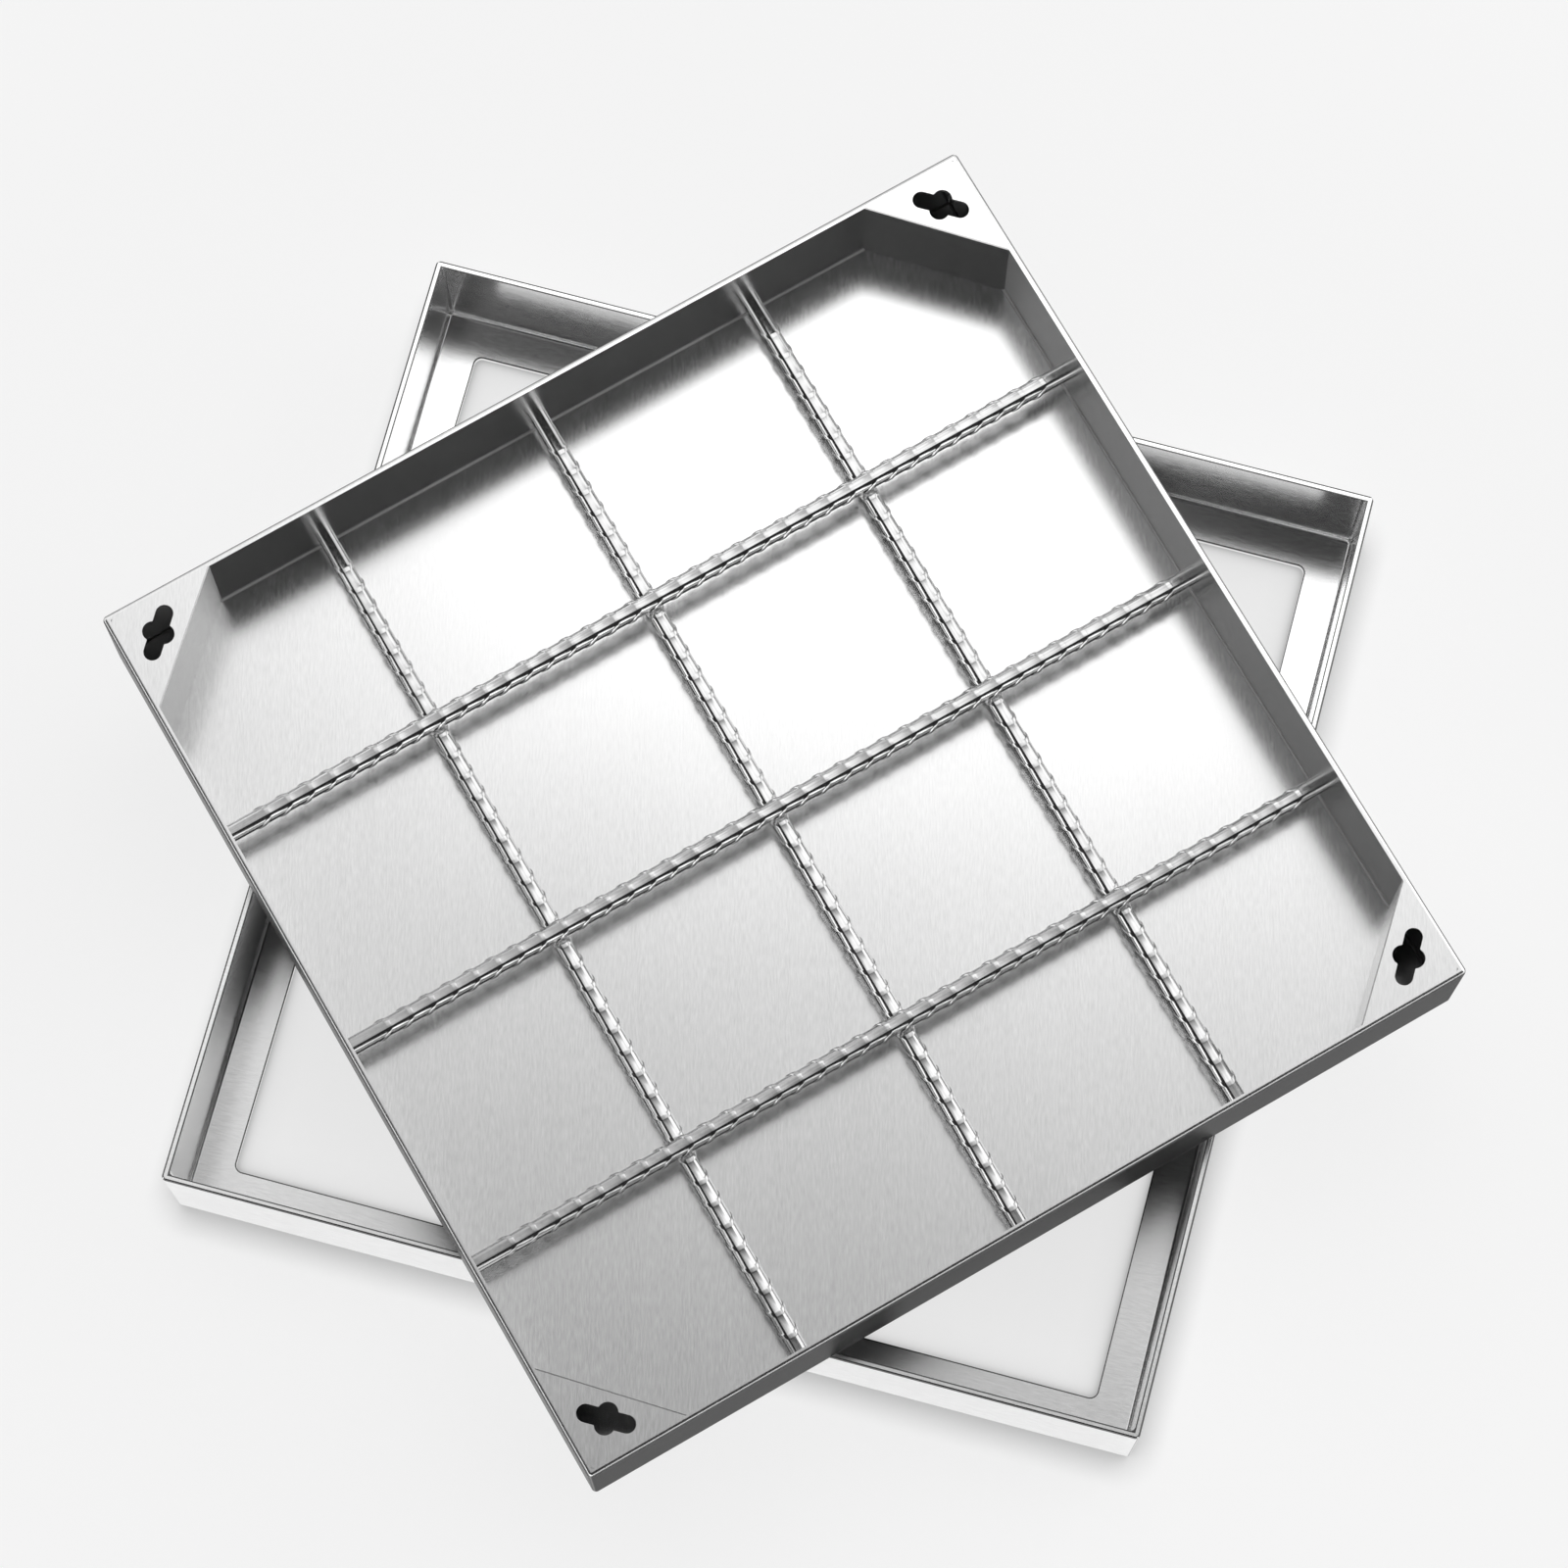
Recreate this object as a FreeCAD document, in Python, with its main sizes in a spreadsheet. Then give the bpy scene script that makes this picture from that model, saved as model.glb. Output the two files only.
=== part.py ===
import FreeCAD, Part
import math
import os
import Sketcher

# Recessed access cover of a septic tank, in stainless sheet, in millimetres.
# A square tray for the paving infill lies flat on the rim of its frame, turned an eighth of a turn.
# The origin is on the ground under the middle of the frame, with +Z up and the tray's walls along X and Y.

doc = FreeCAD.newDocument("access_cover")
sizes = doc.addObject("Spreadsheet::Sheet", "Sizes")

DRIVING_SIZES = [
    # tray, outside to outside
    ("tray_side", 602.0),
    ("tray_height", 78.0),
    ("tray_sheet", 4.0),
    ("tray_bend", 1.0),
    # frame around the tray, with play on each side and room for a seal under the tray
    ("side_play", 0.5),
    ("seal_room", 7.0),
    ("frame_sheet", 4.0),
    ("frame_bend", 2.6),
    ("flange_width", 24.8),
    ("opening_corner", 5.0),
    # edges of both: weld added inside the upright corners, softened outside them and along foot and rim
    ("corner_weld", 0.5),
    ("edge_round", 3.0),
    ("foot_round", 1.0),
    ("tray_rim_round", 2.6),
    ("frame_rim_round", 1.4),
    # how the tray lies on the frame
    ("frame_turn", 45.0),
    ("lay_right", 3.1),
    ("lay_back", 4.3),
    # corner brackets and their key slots
    ("bracket_short_leg", 63.6),
    ("bracket_long_leg", 68.4),
    ("bracket_sheet", 3.0),
    ("bracket_bend", 0.5),
    ("bracket_fold_bevel", 0.8),
    ("slot_inset", 30.6),
    ("slot_length", 36.0),
    ("slot_width", 11.0),
    ("cross_length", 20.0),
    ("cross_width", 12.5),
    # reinforcing bars
    ("bar_diameter", 11.2),
    ("bar_flattening", 0.35),
    ("bar_spacing", 153.0),
    ("bar_floor_gap", 8.0),
    ("lower_bar_offset", 0.4),
    ("upper_bar_offset", 3.5),
]

FOLLOWING_SIZES = [
    ("tray_inside", "tray_side - 2 * tray_sheet"),
    ("tray_depth", "tray_height - tray_sheet"),
    ("tray_corner", "tray_bend + corner_weld"),
    ("frame_inside", "tray_side + 2 * side_play"),
    ("frame_side", "frame_inside + 2 * frame_sheet"),
    ("frame_height", "tray_height + seal_room + frame_sheet"),
    ("frame_corner", "frame_bend + corner_weld"),
    ("opening_side", "frame_inside - 2 * flange_width"),
    ("bracket_diagonal", "sqrt(bracket_short_leg ^ 2 + bracket_long_leg ^ 2)"),
    ("bracket_hollow_share", "1 - bracket_sheet * bracket_diagonal / (bracket_short_leg * bracket_long_leg)"),
    ("bracket_hollow_height", "tray_depth - bracket_sheet"),
    ("slot_inset_each_way", "slot_inset / sqrt(2)"),
    ("bar_depth", "bar_diameter - 2 * bar_flattening"),
    ("lower_bar_level", "frame_height + tray_sheet + bar_floor_gap + bar_depth / 2"),
    ("upper_bar_level", "lower_bar_level + bar_depth"),
]

for row, (alias, value) in enumerate(DRIVING_SIZES + FOLLOWING_SIZES, start=1):
    content = str(value) if isinstance(value, float) else "=" + value
    sizes.set(f"A{row}", alias)
    sizes.set(f"B{row}", content)
    sizes.setAlias(f"B{row}", alias)
doc.recompute()

NEAR = 1e-3
ORIGIN = FreeCAD.Vector(0, 0, 0)
UP = FreeCAD.Vector(0, 0, 1)
DIAGONAL = 45.0
QUARTER_TURN = 90.0
ALIASES = [alias for alias, value in DRIVING_SIZES + FOLLOWING_SIZES]


def size(alias):
    return float(sizes.get(alias))


def in_sheet(expression):
    """The expression with each size named through the sheet."""
    return " ".join(f"Sizes.{word}" if word in ALIASES else word for word in expression.split())


def bind(feature, name, expression):
    feature.setExpression(name, in_sheet(expression))


# Sketches

def new_sketch(body, name, role="XY_Plane", level=None):
    """A sketch on one of the body's own planes, raised to a level where one is given."""
    sketch = body.newObject("Sketcher::SketchObject", name)
    plane = next(plane for plane in body.Origin.OriginFeatures if plane.Role == role)
    sketch.AttachmentSupport = [(plane, "")]
    sketch.MapMode = "FlatFace"
    if level is not None:
        bind(sketch, "AttachmentOffset.Base.z", level)
    return sketch


def dimension(sketch, name, expression, *constraint):
    """A dimension of the sketch, tied to the sheet."""
    index = sketch.addConstraint(Sketcher.Constraint(*constraint))
    sketch.renameConstraint(index, name)
    bind(sketch, f"Constraints.{name}", expression)


def draw_outline(sketch, points):
    """Straight sides through the points, closed and joined at their ends."""
    count = len(points)
    for index in range(count):
        start = FreeCAD.Vector(*points[index], 0)
        end = FreeCAD.Vector(*points[(index + 1) % count], 0)
        sketch.addGeometry(Part.LineSegment(start, end), False)
    for index in range(count):
        sketch.addConstraint(Sketcher.Constraint("Coincident", index, 2, (index + 1) % count, 1))


def draw_rectangle(sketch, width, depth):
    """A rectangle about the sketch's origin."""
    draw_outline(sketch, [(-1, -1), (1, -1), (1, 1), (-1, 1)])
    for side in (0, 2):
        sketch.addConstraint(Sketcher.Constraint("Horizontal", side))
    for side in (1, 3):
        sketch.addConstraint(Sketcher.Constraint("Vertical", side))
    sketch.addConstraint(Sketcher.Constraint("Symmetric", 0, 1, 2, 1, -1, 1))
    dimension(sketch, "Width", width, "DistanceX", 0, 1, 0, 2, 2.0)
    dimension(sketch, "Depth", depth, "DistanceY", 1, 1, 1, 2, 2.0)


def draw_corner(sketch, leg_x, leg_y):
    """A right-angled triangle with its corner at the sketch's origin and its legs towards -X and -Y."""
    draw_outline(sketch, [(0, 0), (-1, 0), (0, -1)])
    sketch.addConstraint(Sketcher.Constraint("Coincident", 0, 1, -1, 1))
    sketch.addConstraint(Sketcher.Constraint("Horizontal", 0))
    sketch.addConstraint(Sketcher.Constraint("Vertical", 2))
    dimension(sketch, "LegX", leg_x, "DistanceX", 0, 2, 0, 1, 1.0)
    dimension(sketch, "LegY", leg_y, "DistanceY", 2, 1, 2, 2, 1.0)


def draw_slot(sketch, length, width):
    """A slot with round ends about the sketch's origin, long along X."""
    quarter = math.pi / 2
    for centre_x, first in ((1.0, -quarter), (-1.0, quarter)):
        circle = Part.Circle(FreeCAD.Vector(centre_x, 0, 0), UP, 0.5)
        sketch.addGeometry(Part.ArcOfCircle(circle, first, first + 2 * quarter), False)
    for start, end in (((1.0, 0.5), (-1.0, 0.5)), ((-1.0, -0.5), (1.0, -0.5))):
        sketch.addGeometry(Part.LineSegment(FreeCAD.Vector(*start, 0), FreeCAD.Vector(*end, 0)), False)
    for before, after in ((0, 2), (2, 1), (1, 3), (3, 0)):
        sketch.addConstraint(Sketcher.Constraint("Tangent", before, 2, after, 1))
    sketch.addConstraint(Sketcher.Constraint("Equal", 0, 1))
    sketch.addConstraint(Sketcher.Constraint("PointOnObject", 0, 3, -1))
    sketch.addConstraint(Sketcher.Constraint("Symmetric", 0, 3, 1, 3, -1, 1))
    dimension(sketch, "EndRadius", f"{width} / 2", "Radius", 0, 0.5)
    dimension(sketch, "Between", f"{length} - {width}", "DistanceX", 1, 3, 0, 3, 2.0)


def draw_flattened_circle(sketch, diameter, depth):
    """A circle about the sketch's origin, cut level at its top and bottom."""
    rise = 0.8
    run = math.sqrt(1 - rise ** 2)
    half_arc = math.asin(rise)
    for middle in (0.0, math.pi):
        circle = Part.Circle(ORIGIN, UP, 1.0)
        sketch.addGeometry(Part.ArcOfCircle(circle, middle - half_arc, middle + half_arc), False)
    for start, end in (((run, rise), (-run, rise)), ((-run, -rise), (run, -rise))):
        sketch.addGeometry(Part.LineSegment(FreeCAD.Vector(*start, 0), FreeCAD.Vector(*end, 0)), False)
    for before, after in ((0, 2), (2, 1), (1, 3), (3, 0)):
        sketch.addConstraint(Sketcher.Constraint("Coincident", before, 2, after, 1))
    for arc in (0, 1):
        sketch.addConstraint(Sketcher.Constraint("Coincident", arc, 3, -1, 1))
    for flat in (2, 3):
        sketch.addConstraint(Sketcher.Constraint("Horizontal", flat))
    sketch.addConstraint(Sketcher.Constraint("Equal", 0, 1))
    sketch.addConstraint(Sketcher.Constraint("Vertical", 0, 1, 0, 2))
    dimension(sketch, "Radius", f"{diameter} / 2", "Radius", 0, 1.0)
    dimension(sketch, "Depth", depth, "DistanceY", 0, 1, 0, 2, 2 * rise)


# Features

def pad(body, sketch, length, symmetric=False):
    feature = body.newObject("PartDesign::Pad", f"{sketch.Name}_pad")
    feature.Profile = sketch
    if symmetric:
        feature.SideType = "Symmetric"
    bind(feature, "Length", length)
    doc.recompute()


def pocket(body, sketch, depth, upwards):
    """Cuts the sketch into the body, and fails where nothing is cut away."""
    before = body.Shape.Volume
    feature = body.newObject("PartDesign::Pocket", f"{sketch.Name}_pocket")
    feature.Profile = sketch
    feature.Reversed = upwards
    bind(feature, "Length", depth)
    doc.recompute()
    if body.Shape.Volume > before - NEAR:
        raise RuntimeError(f"{feature.Label} cuts nothing")


def dress_edges(body, kind, name, value_name, expression, wanted):
    """Rounds or bevels the edges of the body whose boxes the test wants."""
    tip = body.Tip
    names = [f"Edge{index}" for index, edge in enumerate(tip.Shape.Edges, start=1) if wanted(edge.BoundBox)]
    feature = body.newObject(kind, f"{body.Name}_{name}")
    feature.Base = (tip, names)
    bind(feature, value_name, expression)
    doc.recompute()


def round_edges(body, name, radius, wanted):
    dress_edges(body, "PartDesign::Fillet", name, "Radius", radius, wanted)


def bevel_edges(body, name, width, wanted):
    dress_edges(body, "PartDesign::Chamfer", name, "Size", width, wanted)


def is_level(box, level):
    return abs(box.ZMin - level) < NEAR and abs(box.ZMax - level) < NEAR


def is_upright(box, low, high):
    """A plumb line from one level to the other."""
    plumb = box.XLength < NEAR and box.YLength < NEAR
    return plumb and abs(box.ZMin - low) < NEAR and abs(box.ZMax - high) < NEAR


def reach(box):
    """How far the box goes from the upright axis, along X or Y."""
    return max(abs(box.XMin), abs(box.XMax), abs(box.YMin), abs(box.YMax))


def place(body, right, back, level, turn=0.0):
    """Puts the body at a place given in the sheet's sizes, turned about the upright axis."""
    body.Placement = FreeCAD.Placement(ORIGIN, FreeCAD.Rotation(UP, turn))
    bind(body, "Placement.Base.x", right)
    bind(body, "Placement.Base.y", back)
    bind(body, "Placement.Base.z", level)
    doc.recompute()


# Sub-parts

def square_pan(label, side, inside, height, sheet, bend, corner, rim):
    """A square pan of sheet, open at the top, with rounded inner bends and welded upright corners."""
    body = doc.addObject("PartDesign::Body", label)
    outline = new_sketch(body, f"{label}_outline")
    draw_rectangle(outline, side, side)
    pad(body, outline, height)
    hollow = new_sketch(body, f"{label}_hollow", level=sheet)
    draw_rectangle(hollow, inside, inside)
    pocket(body, hollow, f"{height} - {sheet}", upwards=True)

    top = size(height)
    floor = size(sheet)
    wall_middle = (size(side) + size(inside)) / 4
    round_edges(body, "inner_corners", corner, lambda box: is_upright(box, floor, top))
    round_edges(body, "inner_bends", bend, lambda box: is_level(box, floor))
    round_edges(body, "outer_corners", "edge_round", lambda box: is_upright(box, 0.0, top))
    round_edges(body, "foot", "foot_round", lambda box: is_level(box, 0.0))
    round_edges(body, "rim", rim, lambda box: is_level(box, top) and reach(box) > wall_middle)
    return body


def make_frame():
    """The frame: a pan whose floor is cut out to leave an inward flange."""
    body = square_pan("outer_frame", "frame_side", "frame_inside", "frame_height",
                      "frame_sheet", "frame_bend", "frame_corner", "frame_rim_round")
    opening = new_sketch(body, "flange_opening")
    draw_rectangle(opening, "opening_side", "opening_side")
    pocket(body, opening, "frame_sheet", upwards=True)
    flange = size("frame_sheet")
    round_edges(body, "opening_corners", "opening_corner", lambda box: is_upright(box, 0.0, flange))
    body.Placement = FreeCAD.Placement(ORIGIN, FreeCAD.Rotation(UP, size("frame_turn")))
    bind(body, "Placement.Rotation.Angle", "frame_turn")
    doc.recompute()


def make_tray():
    body = square_pan("cover_tray", "tray_side", "tray_inside", "tray_height",
                      "tray_sheet", "tray_bend", "tray_corner", "tray_rim_round")
    place(body, "lay_right", "lay_back", "frame_height")


def make_bracket(label, right_sign, back_sign, turn):
    """A folded corner piece: a triangular plate level with the rim, and an upright down to the floor."""
    body = doc.addObject("PartDesign::Body", label)
    outline = new_sketch(body, f"{label}_outline")
    draw_corner(outline, "bracket_short_leg", "bracket_long_leg")
    pad(body, outline, "tray_depth")
    hollow = new_sketch(body, f"{label}_hollow")
    draw_corner(hollow, "bracket_short_leg * bracket_hollow_share", "bracket_long_leg * bracket_hollow_share")
    pocket(body, hollow, "bracket_hollow_height", upwards=True)

    top = size("tray_depth")
    under = size("bracket_hollow_height")
    round_edges(body, "inner_fold", "bracket_bend",
                lambda box: is_level(box, under) and box.XLength > NEAR and box.YLength > NEAR)
    bevel_edges(body, "outer_fold", "bracket_fold_bevel",
                lambda box: is_level(box, top) and box.XLength > NEAR and box.YLength > NEAR)
    bevel_edges(body, "foot_ends", "tray_bend",
                lambda box: is_level(box, 0.0) and (box.XMin > -NEAR or box.YMin > -NEAR))
    bevel_edges(body, "plate_corner", "tray_corner",
                lambda box: is_upright(box, under, top) and box.XMin > -NEAR and box.YMin > -NEAR)
    for name, length, width, slant in (("key_slot", "slot_length", "slot_width", -DIAGONAL),
                                       ("key_cross", "cross_length", "cross_width", DIAGONAL)):
        slot = new_sketch(body, f"{label}_{name}", level="tray_depth")
        slot.AttachmentOffset = FreeCAD.Placement(slot.AttachmentOffset.Base, FreeCAD.Rotation(UP, slant))
        bind(slot, "AttachmentOffset.Base.x", "- slot_inset_each_way")
        bind(slot, "AttachmentOffset.Base.y", "- slot_inset_each_way")
        draw_slot(slot, length, width)
        pocket(body, slot, "bracket_sheet", upwards=False)
    place(body, f"lay_right {right_sign} tray_inside / 2", f"lay_back {back_sign} tray_inside / 2",
          "frame_height + tray_sheet", turn)


def make_bar(label, right, back, level, turn):
    """A round bar with a rolled flat along its top and bottom, lying level from wall to wall."""
    body = doc.addObject("PartDesign::Body", label)
    section = new_sketch(body, f"{label}_section", "YZ_Plane")
    draw_flattened_circle(section, "bar_diameter", "bar_depth")
    pad(body, section, "tray_inside", symmetric=True)
    place(body, right, back, level, turn)


make_frame()
make_tray()
for turns, (label, right_sign, back_sign) in enumerate((("back_right", "+", "+"), ("back_left", "-", "+"),
                                                        ("front_left", "-", "-"), ("front_right", "+", "-"))):
    make_bracket(f"bracket_{label}", right_sign, back_sign, turns * QUARTER_TURN)
for label, step in (("left", "- bar_spacing"), ("middle", ""), ("right", "+ bar_spacing")):
    make_bar(f"lower_bar_{label}", f"lay_right - lower_bar_offset {step}", "lay_back", "lower_bar_level",
             QUARTER_TURN)
for label, step in (("front", "- bar_spacing"), ("middle", ""), ("back", "+ bar_spacing")):
    make_bar(f"upper_bar_{label}", "lay_right", f"lay_back + upper_bar_offset {step}", "upper_bar_level", 0.0)
doc.recompute()

# Every object has to be sound before anything is written
for item in doc.Objects:
    if "Invalid" in item.State or "Error" in item.State:
        raise RuntimeError(f"{item.Label} failed: {item.State}")
bodies = [item for item in doc.Objects if item.TypeId == "PartDesign::Body"]
for body in bodies:
    if body.Shape.isNull() or not body.Shape.isValid() or len(body.Shape.Solids) != 1:
        raise RuntimeError(f"{body.Label} is not one sound solid")

os.makedirs("parts", exist_ok=True)
for body in bodies:
    body.Shape.exportStep(os.path.join("parts", f"{body.Label}.step"))
    box = body.Shape.BoundBox
    print(f"{body.Label}: volume {body.Shape.Volume:.0f}, x {box.XMin:.1f} {box.XMax:.1f},"
          f" y {box.YMin:.1f} {box.YMax:.1f}, z {box.ZMin:.1f} {box.ZMax:.1f}")
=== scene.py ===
import math

import bpy
from mathutils import Matrix, Vector


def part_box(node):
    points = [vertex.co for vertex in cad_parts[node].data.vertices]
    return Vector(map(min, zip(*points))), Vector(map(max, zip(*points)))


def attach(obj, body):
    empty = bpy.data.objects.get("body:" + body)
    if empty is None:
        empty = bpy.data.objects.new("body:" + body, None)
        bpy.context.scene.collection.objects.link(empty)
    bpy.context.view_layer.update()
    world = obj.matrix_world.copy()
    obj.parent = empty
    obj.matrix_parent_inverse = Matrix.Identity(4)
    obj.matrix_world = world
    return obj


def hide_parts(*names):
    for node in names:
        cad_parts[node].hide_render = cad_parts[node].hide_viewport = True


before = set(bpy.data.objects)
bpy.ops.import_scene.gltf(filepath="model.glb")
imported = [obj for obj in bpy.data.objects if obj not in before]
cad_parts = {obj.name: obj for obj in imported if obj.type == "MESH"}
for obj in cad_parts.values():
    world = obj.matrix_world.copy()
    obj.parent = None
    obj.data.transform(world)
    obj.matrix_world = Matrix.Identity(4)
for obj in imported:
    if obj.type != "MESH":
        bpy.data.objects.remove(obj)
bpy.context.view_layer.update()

# Looks of a recessed access cover in stainless sheet, in metres.
# Tray, frame and brackets keep their CAD meshes and get brushed steel, with painted shade along edges, bend
# lines and some faces.
# The bars are made again with rolled ribs.

MM = 0.001
WHITE = (1.0, 1.0, 1.0, 1.0)
scene = bpy.context.scene

BRACKETS = [f"bracket_{end}_{side}" for end in ("back", "front") for side in ("left", "right")]
LOWER_BARS = [f"lower_bar_{side}" for side in ("left", "middle", "right")]
UPPER_BARS = [f"upper_bar_{side}" for side in ("front", "middle", "back")]


def node_width(node):
    """The length of a CAD node along X."""
    low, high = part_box(node)
    return high.x - low.x


# Shader helpers

# The span that most of a noise's values lie in
NOISE_LOW = 0.3
NOISE_HIGH = 0.7


class Shader:
    """The node tree of a material or a world, with short ways to add nodes and join them."""

    def __init__(self, owner):
        owner.use_nodes = True
        self.owner = owner
        self.tree = owner.node_tree
        self.tree.nodes.clear()

    def node(self, kind, **settings):
        made = self.tree.nodes.new(kind)
        for name, value in settings.items():
            setattr(made, name, value)
        return made

    def feed(self, target, source):
        """Joins an output to an input, or sets the input to a plain value."""
        if isinstance(source, bpy.types.NodeSocket):
            self.tree.links.new(source, target)
        else:
            target.default_value = source

    def math(self, operation, first, second=0.0):
        made = self.node("ShaderNodeMath", operation=operation)
        self.feed(made.inputs[0], first)
        self.feed(made.inputs[1], second)
        return made.outputs[0]

    def vector_math(self, operation, *sources):
        """The outputs of a sum on vectors: Vector or Value holds the result."""
        made = self.node("ShaderNodeVectorMath", operation=operation)
        for socket, source in zip(made.inputs, sources):
            self.feed(socket, source)
        return made.outputs

    def parts(self, vector):
        """The outputs X, Y and Z of a vector."""
        made = self.node("ShaderNodeSeparateXYZ")
        self.feed(made.inputs[0], vector)
        return made.outputs

    def grey(self, value):
        """A grey colour from one number."""
        made = self.node("ShaderNodeCombineColor")
        for socket in made.inputs:
            self.feed(socket, value)
        return made.outputs[0]

    def spread(self, value, low, high, from_low=0.0, from_high=1.0):
        """The value moved from one range to another, held at both ends."""
        made = self.node("ShaderNodeMapRange")
        for name, source in (("Value", value), ("From Min", from_low), ("From Max", from_high),
                             ("To Min", low), ("To Max", high)):
            self.feed(made.inputs[name], source)
        return made.outputs[0]

    def place(self, origin=(0.0, 0.0, 0.0), turn=0.0, unit=(1.0, 1.0, 1.0)):
        """The point on the object as seen from an origin, with axes turned about Z and a unit along each."""
        mapping = self.node("ShaderNodeMapping", vector_type="TEXTURE")
        mapping.inputs["Location"].default_value = origin
        mapping.inputs["Rotation"].default_value = (0.0, 0.0, turn)
        mapping.inputs["Scale"].default_value = unit
        self.feed(mapping.inputs["Vector"], self.node("ShaderNodeTexCoord").outputs["Object"])
        return mapping.outputs[0]

    def noise(self, cycles, turn=0.0, detail=2.0):
        """Noise with a number of cycles per metre along each axis of the object, after a turn about Z."""
        made = self.node("ShaderNodeTexNoise")
        self.feed(made.inputs["Vector"], self.place(turn=turn, unit=[1.0 / count for count in cycles]))
        made.inputs["Scale"].default_value = 1.0
        made.inputs["Detail"].default_value = detail
        return made.outputs[0]

    def vary(self, noise, low, high):
        """A value that goes from low to high with a noise."""
        return self.spread(noise, low, high, NOISE_LOW, NOISE_HIGH)

    def metal(self, colour, roughness, height, depth, edge_tint=WHITE, bare=1.0):
        """Ends the tree in metal with a bump of the given depth in metres.

        The edge tint is its tint at grazing angles. Where the bare share is under 1, the rest is matte with
        no reflection; the tray uses this for painted shade.
        """
        bump = self.node("ShaderNodeBump")
        bump.inputs["Strength"].default_value = 1.0
        bump.inputs["Distance"].default_value = depth
        self.feed(bump.inputs["Height"], height)
        surface = self.node("ShaderNodeBsdfPrincipled")
        surface.inputs["Specular IOR Level"].default_value = 0.0
        self.feed(surface.inputs["Metallic"], bare)
        self.feed(surface.inputs["Base Color"], colour)
        self.feed(surface.inputs["Roughness"], roughness)
        self.feed(surface.inputs["Specular Tint"], edge_tint)
        self.feed(surface.inputs["Normal"], bump.outputs[0])
        return self.end(surface)

    def end(self, surface, output="ShaderNodeOutputMaterial"):
        """Joins a surface to the tree's output, and gives the material or world."""
        self.feed(self.node(output).inputs["Surface"], surface.outputs[0])
        return self.owner


# Sheet steel

# Cycles per metre of the brushed grain and of the slow changes across the sheet
GRAIN_FINE = (1000.0, 140.0, 300.0)
GRAIN_BROAD = (300.0, 20.0, 80.0)
CLOUD = (5.0, 5.0, 5.0)

FINE_SHARE = 0.8
GRAIN_TONES = (0.93, 1.05)
GRAIN_ROUGHNESS = (0.19, 0.24)
GRAIN_DEPTH = 0.0012 * MM
CLOUD_TONES = (0.97, 1.02)


class SheetSteel(Shader):
    """Brushed stainless sheet: fine and broad grain along one line, and slow changes of tone."""

    def __init__(self, name, grain_turn, tone, tint):
        super().__init__(bpy.data.materials.new(name))
        self.tone = tone
        self.tint = tint
        fine = self.math("MULTIPLY", self.noise(GRAIN_FINE, grain_turn), FINE_SHARE)
        broad = self.math("MULTIPLY", self.noise(GRAIN_BROAD, grain_turn), 1.0 - FINE_SHARE)
        self.grain = self.math("ADD", fine, broad)

    def mark(self, share, tone, tint):
        """Gives the sheet another tone, and another tint at grazing angles, where the share is 1."""
        self.tone = self.spread(share, self.tone, tone)
        self.tint = self.spread(share, self.tint, tint)

    def finish(self, bare=1.0):
        """Ends the material, with bare metal where the bare share is 1."""
        grain_shade = self.vary(self.grain, *GRAIN_TONES)
        cloud_shade = self.vary(self.noise(CLOUD), *CLOUD_TONES)
        shade = self.math("MULTIPLY", grain_shade, cloud_shade)
        colour = self.grey(self.math("MULTIPLY", shade, self.tone))
        roughness = self.vary(self.grain, *GRAIN_ROUGHNESS)
        return self.metal(colour, roughness, self.grain, GRAIN_DEPTH, self.grey(self.tint), bare)


# Places on a square pan of folded sheet

SHEET = 4.0 * MM

# Depths below an outer face where its painted shade starts and where it is full
OUTSIDE_START = 1.5 * MM
OUTSIDE_FULL = 0.4 * MM

RIM_EDGE = 2.6 * MM
# Widths of the painted shade lines along the bend and the rim edges, and of their fade
BEND_WIDTH = 0.9 * MM
EDGE_LINE_WIDTH = 0.55 * MM
OUTER_LINE_WIDTH = 0.9 * MM
LINE_FADE = 0.4 * MM


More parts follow.
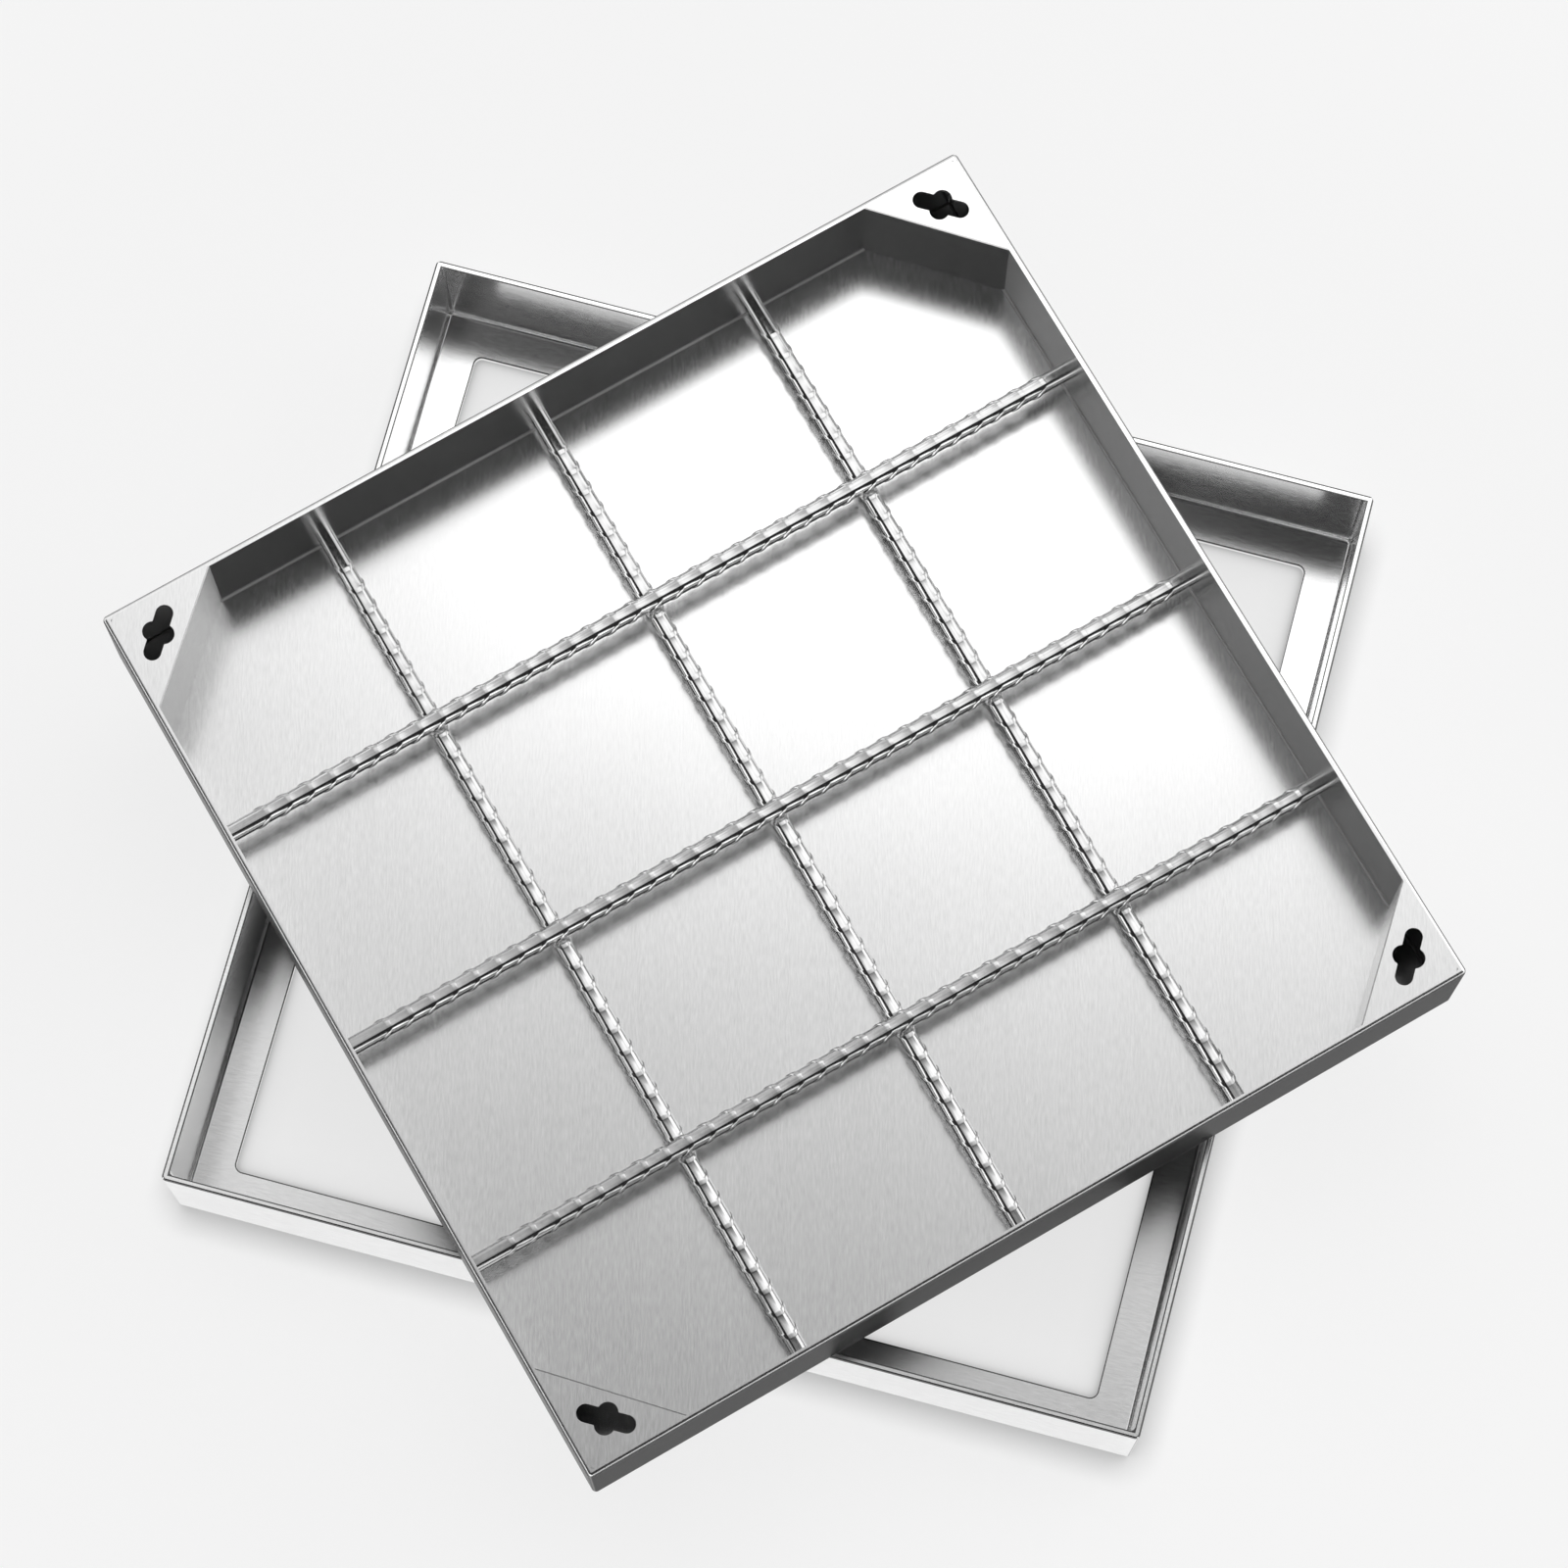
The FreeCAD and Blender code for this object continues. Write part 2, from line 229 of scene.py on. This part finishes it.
class SquarePan:
    """Shader values for places on a square pan, found by how far out a point lies, square to the walls."""

    def __init__(self, shader, node, turn, side):
        low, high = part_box(node)
        middle = (low + high) / 2
        self.shader = shader
        self.half = side / 2
        self.foot = low.z
        self.top = high.z
        place = shader.place((middle.x, middle.y, 0.0), turn)
        self.away = shader.parts(shader.vector_math("ABSOLUTE", place)["Vector"])
        self.level = self.away["Z"]
        self.reach = shader.math("MAXIMUM", self.away["X"], self.away["Y"])

    def at_outside(self, reach):
        """1 where a reach comes to the outer faces, and 0 deeper in the sheet."""
        return self.shader.spread(reach, 0.0, 1.0, self.half - OUTSIDE_START, self.half - OUTSIDE_FULL)

    def outer_walls(self):
        """1 on the outer faces of the upright walls, and 0 elsewhere."""
        return self.at_outside(self.reach)

    def corner_edges(self):
        """1 along the upright outer corners, where shade lines are painted, and 0 elsewhere."""
        return self.at_outside(self.shader.math("MINIMUM", self.away["X"], self.away["Y"]))

    def painted_shade_faces(self):
        """1 on the underside and on the outer edge of the rim, where dark shade is painted, and 0 elsewhere.
        """
        under = self.shader.spread(self.level, 1.0, 0.0, self.foot + OUTSIDE_FULL, self.foot + OUTSIDE_START)
        rim_foot = self.top - RIM_EDGE
        rim = self.shader.spread(self.level, 0.0, 1.0, rim_foot - OUTSIDE_FULL, rim_foot)
        return self.shader.math("MAXIMUM", under, self.shader.math("MULTIPLY", self.outer_walls(), rim))

    def line(self, reach, edge_reach, edge_level, width):
        """1 within a width of a level edge, and 0 past the line's fade."""
        place = self.shader.node("ShaderNodeCombineXYZ")
        self.shader.feed(place.inputs["X"], reach)
        self.shader.feed(place.inputs["Y"], self.level)
        edge = (edge_reach, edge_level, 0.0)
        distance = self.shader.vector_math("DISTANCE", place.outputs[0], edge)["Value"]
        return self.shader.spread(distance, 1.0, 0.0, width, width + LINE_FADE)

    def bend_line(self):
        """The line along the bend between the floor and the walls, where shade is painted."""
        return self.line(self.reach, self.half - SHEET, self.foot + SHEET, BEND_WIDTH)

    def rim_lines(self):
        """The painted shade lines along the inner and the outer edge of the rim."""
        inner = self.line(self.reach, self.half - SHEET, self.top, EDGE_LINE_WIDTH)
        outer = self.line(self.reach, self.half, self.top, OUTER_LINE_WIDTH)
        return self.shader.math("MAXIMUM", inner, outer)

    def opening_line(self, opening_half, corner):
        """The painted shade line along the upper edge of a square opening with round corners in the floor."""
        squares = []
        for axis in ("X", "Y"):
            past = self.shader.math("SUBTRACT", self.away[axis], opening_half - corner)
            past = self.shader.math("MAXIMUM", past, 0.0)
            squares.append(self.shader.math("MULTIPLY", past, past))
        reach = self.shader.math("SQRT", self.shader.math("ADD", *squares))
        return self.line(reach, corner, self.foot + SHEET, EDGE_LINE_WIDTH)


# Materials of tray, frame and brackets

GRAIN_TURN = math.radians(-30.0)

TRAY_TONE = 0.80
TRAY_TINT = 0.68
# Painted shade: the tray's outer walls are darker, and darker still at grazing angles
OUTSIDE_SHADE_TONE = 0.7
OUTSIDE_SHADE_TINT = 0.08
# Painted shade: dark and matte underneath, on the rim's outer edge and along the bend lines, which take this
# share of it
PAINTED_SHADE_TONE = 0.095
BEND_SHADE_SHARE = 0.7

FRAME_TURN = math.radians(45.0)
FRAME_SIDE = 611.0 * MM
OPENING_HALF = 276.7 * MM
OPENING_CORNER = 5.0 * MM
FRAME_TONE = 0.97
FRAME_TINT = 1.0
# Tone of the painted shade lines on the frame
SHADE_LINE_TONE = 0.12

BRACKET_TONE = 0.80
BRACKET_TINT = 0.8
# Painted shade on the brackets' bevelled fold faces
FOLD_SHADE_TONE = 0.35

# The upward share of a fold's normal, and how far off it a face still counts as a fold, in full and at all
FOLD_RISE = math.sqrt(0.5)
FOLD_FULL = 0.05
FOLD_END = 0.2


def tray_material():
    """The tray has painted shade: it is darker on its outer walls, and dark and matte underneath, on its
    rim's edge and along its bend lines.
    """
    steel = SheetSteel("tray_brushed_steel", GRAIN_TURN, TRAY_TONE, TRAY_TINT)
    pan = SquarePan(steel, "cover_tray", 0.0, node_width("cover_tray"))
    bend_shade = steel.math("MULTIPLY", pan.bend_line(), BEND_SHADE_SHARE)
    painted_shade = steel.math("MAXIMUM", pan.painted_shade_faces(), bend_shade)
    # Painted shade: darker outer walls
    steel.mark(pan.outer_walls(), OUTSIDE_SHADE_TONE, OUTSIDE_SHADE_TINT)
    # Painted shade: dark and matte underneath, on the rim's outer edge and along the bend lines
    steel.mark(painted_shade, PAINTED_SHADE_TONE, PAINTED_SHADE_TONE)
    return steel.finish(steel.math("SUBTRACT", 1.0, painted_shade))


def frame_material():
    """The frame has painted shade lines along its rim, its upright corners and its opening."""
    steel = SheetSteel("frame_brushed_steel", FRAME_TURN, FRAME_TONE, FRAME_TINT)
    pan = SquarePan(steel, "outer_frame", FRAME_TURN, FRAME_SIDE)
    lines = steel.math("MAXIMUM", pan.rim_lines(), pan.opening_line(OPENING_HALF, OPENING_CORNER))
    edges = steel.math("MAXIMUM", lines, pan.corner_edges())
    # Painted shade lines along the rim, the upright corners and the opening
    steel.mark(edges, SHADE_LINE_TONE, SHADE_LINE_TONE)
    return steel.finish()


def bracket_material():
    """The brackets have painted shade along their bevelled fold faces, the only faces that slope."""
    steel = SheetSteel("bracket_brushed_steel", GRAIN_TURN, BRACKET_TONE, BRACKET_TINT)
    rise = steel.parts(steel.node("ShaderNodeNewGeometry").outputs["True Normal"])["Z"]
    off_slope = steel.math("ABSOLUTE", steel.math("SUBTRACT", rise, FOLD_RISE))
    fold_shade = steel.spread(off_slope, 1.0, 0.0, FOLD_FULL, FOLD_END)
    # Painted shade along the bevelled fold faces
    steel.mark(fold_shade, FOLD_SHADE_TONE, FOLD_SHADE_TONE)
    return steel.finish()


def dress(node, material):
    """Gives a CAD node its material."""
    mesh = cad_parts[node].data
    mesh.materials.clear()
    mesh.materials.append(material)


dress("cover_tray", tray_material())
dress("outer_frame", frame_material())
bracket_steel = bracket_material()
for node in BRACKETS:
    dress(node, bracket_steel)


# Material of the bars

# Cycles per metre of the streaks along a bar and of the scale spots on it
STREAKS = (25.0, 900.0, 900.0)
SPOTS = (400.0, 400.0, 400.0)

SPOT_DETAIL = 4.0
STREAK_TONES = (0.46, 0.56)
SPOT_TONES = (0.94, 1.02)
SPOT_ROUGHNESS = (0.12, 0.2)
SPOT_DEPTH = 0.005 * MM


def bar_material():
    """Drawn and rolled bar: streaks along the bar and faint scale between them."""
    shader = Shader(bpy.data.materials.new("ribbed_bar_steel"))
    streaks = shader.noise(STREAKS)
    spots = shader.noise(SPOTS, detail=SPOT_DETAIL)
    tone = shader.math("MULTIPLY", shader.vary(streaks, *STREAK_TONES), shader.vary(spots, *SPOT_TONES))
    roughness = shader.vary(spots, *SPOT_ROUGHNESS)
    return shader.metal(shader.grey(tone), roughness, spots, SPOT_DEPTH)


# Ribbed bars

CORE_RADIUS = 5.6 * MM
CREST_HEIGHT = 5.25 * MM
CROSS_RIB_PITCH = 15.3 * MM
CROSS_RIB_HEIGHT = 0.75 * MM
CROSS_RIB_HALF_WIDTH = 2.0 * MM
CROSS_RIB_FLATNESS = 4
CROSS_RIB_SLANT = 1.0

# A rib's middle, as an angle around the bar from the crest that it lies nearer to, and its reach both ways
CROSS_RIB_MIDDLE = math.radians(80.0)
CROSS_RIB_REACH = math.radians(66.0)

SIDE_STEPS = 24
CROSS_RIB_STEPS = 12
SHARP_ANGLE = math.radians(18.0)
ALONG_X = 0.0
ALONG_Y = -math.pi / 2


def bar_section():
    """Points (across, up, rib share) around the bar, with two flat crests.

    The ribs on each side lie nearer to one crest: the upper one on one side, the lower one on the other.
    """
    start = math.acos(CREST_HEIGHT / CORE_RADIUS)
    side = []
    for step in range(SIDE_STEPS + 1):
        angle = start + (math.pi - 2 * start) * step / SIDE_STEPS
        from_middle = (angle - CROSS_RIB_MIDDLE) / CROSS_RIB_REACH
        share = max(0.0, 1.0 - from_middle ** 2)
        side.append((CORE_RADIUS * math.sin(angle), CORE_RADIUS * math.cos(angle), share))
    return side + [(-across, -up, share) for across, up, share in side]


def bar_rings(length):
    """(axial place, rib share) of every ring of points along the bar, but for its two ends."""
    free = length / 2 - CORE_RADIUS * CROSS_RIB_SLANT - CROSS_RIB_HALF_WIDTH
    count = int(2 * free / CROSS_RIB_PITCH)
    rings = []
    for index in range(count):
        middle = (index - (count - 1) / 2) * CROSS_RIB_PITCH
        for step in range(CROSS_RIB_STEPS + 1):
            away = 2 * step / CROSS_RIB_STEPS - 1
            rings.append((middle + away * CROSS_RIB_HALF_WIDTH, 1.0 - away ** CROSS_RIB_FLATNESS))
    return rings


def ribbed_bar_mesh(length):
    """A bar along X with slanting crescent ribs on its sides."""
    section = bar_section()
    size = len(section)
    vertices = [(-length / 2, across, up) for across, up, share in section]
    for place, height in bar_rings(length):
        for across, up, share in section:
            swell = 1.0 + height * share * CROSS_RIB_HEIGHT / CORE_RADIUS
            vertices.append((place + up * CROSS_RIB_SLANT, across * swell, up * swell))
    vertices += [(length / 2, across, up) for across, up, share in section]
    ring_count = len(vertices) // size
    faces = [tuple(reversed(range(size)))]
    for ring in range(ring_count - 1):
        for step in range(size):
            after = (step + 1) % size
            faces.append((ring * size + step, ring * size + after,
                          (ring + 1) * size + after, (ring + 1) * size + step))
    faces.append(tuple(range((ring_count - 1) * size, ring_count * size)))
    mesh = bpy.data.meshes.new("ribbed_bar")
    mesh.from_pydata(vertices, [], faces)
    mesh.update()
    mesh.shade_smooth()
    mesh.set_sharp_from_angle(angle=SHARP_ANGLE)
    mesh.materials.append(bar_material())
    return mesh


def add_bar(node, turn, mesh):
    """Puts a ribbed bar in the place of a CAD bar."""
    low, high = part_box(node)
    bar = bpy.data.objects.new(f"ribbed_{node}", mesh)
    scene.collection.objects.link(bar)
    bar.matrix_world = Matrix.Translation((low + high) / 2) @ Matrix.Rotation(turn, 4, "Z")
    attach(bar, "root")
    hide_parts(node)


bar_mesh = ribbed_bar_mesh(node_width(UPPER_BARS[0]))
for node in LOWER_BARS:
    add_bar(node, ALONG_Y, bar_mesh)
for node in UPPER_BARS:
    add_bar(node, ALONG_X, bar_mesh)


# Floor

FLOOR_REACH = 8.0
FLOOR_CORNERS = ((-1, -1), (1, -1), (1, 1), (-1, 1))
FLOOR_TONE = 0.86
BACKDROP_TONE = 1.0
BACKDROP_SHARE = 0.75
CONTACT_REACH = 0.022
CONTACT_TONE = 0.52
CONTACT_FULL = 0.5
CONTACT_SAMPLES = 16


def floor_material():
    """Pale paper, partly lit from within for the camera and for reflections.

    The camera also sees a contact shadow around the object.
    """
    shader = Shader(bpy.data.materials.new("pale_floor"))
    paper = shader.node("ShaderNodeBsdfDiffuse")
    paper.inputs["Color"].default_value = (FLOOR_TONE, FLOOR_TONE, FLOOR_TONE, 1.0)
    contact = shader.node("ShaderNodeAmbientOcclusion", samples=CONTACT_SAMPLES)
    contact.inputs["Distance"].default_value = CONTACT_REACH
    rays = shader.node("ShaderNodeLightPath").outputs
    covered = shader.math("SUBTRACT", 1.0, contact.outputs["AO"])
    shadow = shader.math("MULTIPLY", covered, rays["Is Camera Ray"])
    backdrop = shader.node("ShaderNodeEmission")
    backdrop_tone = shader.spread(shadow, BACKDROP_TONE, CONTACT_TONE, 0.0, CONTACT_FULL)
    shader.feed(backdrop.inputs["Color"], shader.grey(backdrop_tone))
    seen = shader.math("ADD", rays["Is Camera Ray"], rays["Is Glossy Ray"])
    share = shader.math("MULTIPLY", seen, BACKDROP_SHARE)
    blend = shader.node("ShaderNodeMixShader")
    for socket, source in zip(blend.inputs, (share, paper.outputs[0], backdrop.outputs[0])):
        shader.feed(socket, source)
    return shader.end(blend)


floor_mesh = bpy.data.meshes.new("floor")
floor_points = [(right * FLOOR_REACH, back * FLOOR_REACH, 0.0) for right, back in FLOOR_CORNERS]
floor_mesh.from_pydata(floor_points, [], [(0, 1, 2, 3)])
floor_mesh.materials.append(floor_material())
floor = bpy.data.objects.new("floor", floor_mesh)
scene.collection.objects.link(floor)


# Studio light: a soft sky that brightens from above the object towards its back right, over a bright horizon

BRIGHT_SIDE = Vector((0.67, 0.74, 0.0))
SKY_DARK = 0.03
SKY_BRIGHT = 1.45
SKY_START = 0.035
SKY_END = 0.335
SKY_CAP = 0.9
SKY_CAP_LOW = 0.75
SKY_CAP_HIGH = 0.92
HORIZON_NEAR = 2.6
HORIZON_FAR = 0.9
HORIZON_SIDE_START = -0.2
HORIZON_SIDE_END = 0.4
HORIZON_FULL = 0.36
HORIZON_END = 0.48
LIGHT_DISTANCE = 4.0


def studio_world():
    """The sky and the horizon around the object."""
    shader = Shader(bpy.data.worlds.new("studio"))
    direction = shader.node("ShaderNodeTexCoord").outputs["Generated"]
    side = shader.vector_math("DOT_PRODUCT", direction, BRIGHT_SIDE)["Value"]
    rise = shader.parts(direction)["Z"]
    cap = shader.spread(rise, SKY_CAP, SKY_BRIGHT, SKY_CAP_LOW, SKY_CAP_HIGH)
    sky = shader.math("MINIMUM", shader.spread(side, SKY_DARK, SKY_BRIGHT, SKY_START, SKY_END), cap)
    band = shader.spread(rise, 1.0, 0.0, HORIZON_FULL, HORIZON_END)
    band_light = shader.spread(side, HORIZON_NEAR, HORIZON_FAR, HORIZON_SIDE_START, HORIZON_SIDE_END)
    horizon = shader.math("MULTIPLY", band, band_light)
    glow = shader.node("ShaderNodeBackground")
    glow.inputs["Color"].default_value = WHITE
    shader.feed(glow.inputs["Strength"], shader.math("MAXIMUM", sky, horizon))
    return shader.end(glow, "ShaderNodeOutputWorld")


def softbox(name, azimuth, elevation, width, height, brightness):
    """A rectangular light, seen from the object at an azimuth and an elevation in degrees.

    The azimuth goes from +Y towards +X.
    """
    light = bpy.data.lights.new(name, "AREA")
    light.shape = "RECTANGLE"
    light.size = width
    light.size_y = height
    light.energy = math.pi * width * height * brightness
    lamp = bpy.data.objects.new(name, light)
    scene.collection.objects.link(lamp)
    turn = math.radians(azimuth)
    tilt = math.radians(elevation)
    towards = Vector((math.sin(turn) * math.cos(tilt), math.cos(turn) * math.cos(tilt), math.sin(tilt)))
    lamp.location = towards * LIGHT_DISTANCE
    lamp.rotation_mode = "QUATERNION"
    lamp.rotation_quaternion = towards.to_track_quat("Z", "Y")


scene.world = studio_world()
softbox("key", azimuth=36.0, elevation=66.0, width=1.3, height=1.3, brightness=0.6)
softbox("right", azimuth=95.0, elevation=28.0, width=3.4, height=2.6, brightness=1.2)
softbox("left", azimuth=-52.0, elevation=69.0, width=1.3, height=1.6, brightness=0.25)
scene.view_settings.view_transform = "Standard"


# Camera, at the photo's viewing angle

CAMERA_AZIMUTH = math.radians(-30.044)
CAMERA_ELEVATION = math.radians(75.761)
CAMERA_DISTANCE = 3.0502
CAMERA_TARGET = Vector((8.85, 7.66, 167.0)) * MM
CAMERA_SENSOR = 36.0
CAMERA_FOCAL_PIXELS = 5170.4
PHOTO_PIXELS = 1600.0

camera_data = bpy.data.cameras.new("photo_camera")
camera_data.sensor_width = CAMERA_SENSOR
camera_data.lens = CAMERA_FOCAL_PIXELS / PHOTO_PIXELS * CAMERA_SENSOR
camera = bpy.data.objects.new("photo_camera", camera_data)
scene.collection.objects.link(camera)
backwards = Vector((math.sin(CAMERA_AZIMUTH) * math.cos(CAMERA_ELEVATION),
                    -math.cos(CAMERA_AZIMUTH) * math.cos(CAMERA_ELEVATION), math.sin(CAMERA_ELEVATION)))
camera.location = CAMERA_TARGET + backwards * CAMERA_DISTANCE
camera.rotation_mode = "QUATERNION"
camera.rotation_quaternion = backwards.to_track_quat("Z", "Y")
scene.camera = camera
